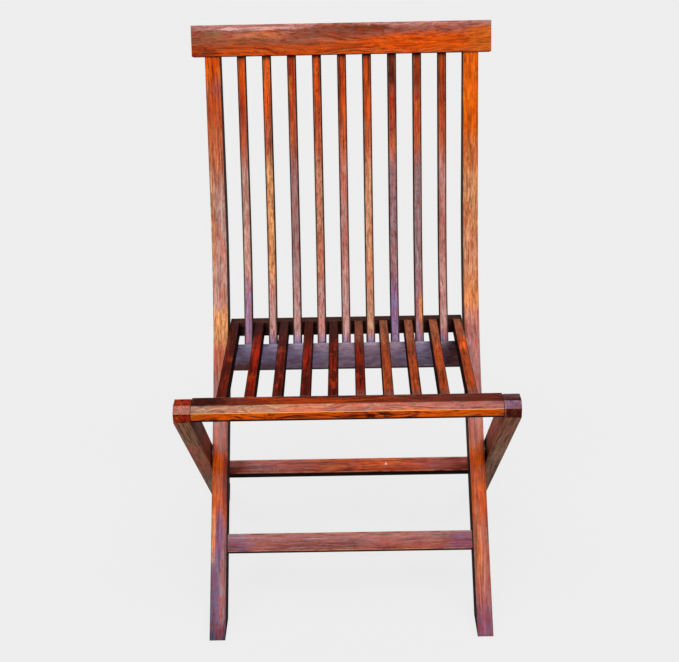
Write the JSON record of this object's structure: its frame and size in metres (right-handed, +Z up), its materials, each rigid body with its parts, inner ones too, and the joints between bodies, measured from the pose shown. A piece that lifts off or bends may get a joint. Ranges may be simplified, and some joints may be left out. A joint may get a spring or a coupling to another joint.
{
  "type": "folding chair",
  "caption": "Varnished hardwood folding chair: X-frame legs, slatted seat and curved slatted back, seat slats passing between back slats.",
  "frame": {"origin": "on the floor, at the middle of the open chair's width and depth", "axes": "+X across the chair, to the right of someone who looks at its front; +Y to the rear; +Z up"},
  "size_m": [0.506, 0.4902, 0.882],
  "materials": {
    "frame_wood": "gloss varnish",
    "slat_wood": "gloss varnish",
    "steel": "zinc plated",
    "brass": "plain"
  },
  "bodies": {
    "back_frame": {"left_back_post": "frame_wood", "right_back_post": "frame_wood", "top_rail": "frame_wood", "lower_back_rail": "frame_wood", "front_stretcher": "frame_wood", "back_slat_1": "slat_wood", "back_slat_2": "slat_wood", "back_slat_3": "slat_wood", "back_slat_4": "slat_wood", "back_slat_5": "slat_wood", "back_slat_6": "slat_wood", "back_slat_7": "slat_wood", "back_slat_8": "slat_wood", "back_slat_9": "slat_wood", "leg_pivot_bolts": "steel", "leg_pivot_inserts": "brass", "leg_pivot_washers": "steel"},
    "rear_leg_frame": {"left_rear_leg": "frame_wood", "right_rear_leg": "frame_wood", "rear_stretcher": "frame_wood"},
    "seat": {"seat_front_rail": "frame_wood", "seat_rear_rail": "frame_wood", "seat_slat_1": "slat_wood", "seat_slat_2": "slat_wood", "seat_slat_3": "slat_wood", "seat_slat_4": "slat_wood", "seat_slat_5": "slat_wood", "seat_slat_6": "slat_wood", "seat_slat_7": "slat_wood", "seat_slat_8": "slat_wood", "seat_slat_9": "slat_wood", "seat_slat_10": "slat_wood", "seat_pivot_bolts": "steel", "seat_pivot_inserts": "brass"}
  },
  "joints": [
    {"name": "leg_fold", "type": "hinge", "parent": "back_frame", "child": "rear_leg_frame", "pos_m": [0, -0.03243, 0.2179], "axis": [-1, 0, 0], "range_deg": [0, 70]},
    {"name": "seat_fold", "type": "hinge", "parent": "rear_leg_frame", "child": "seat", "pos_m": [0, -0.22407, 0.402], "axis": [1, 0, 0], "range_deg": [0, 138]}
  ],
  "couplings": [
    {"joint": "seat_fold", "follows": "leg_fold", "ratio": 1.95}
  ]
}
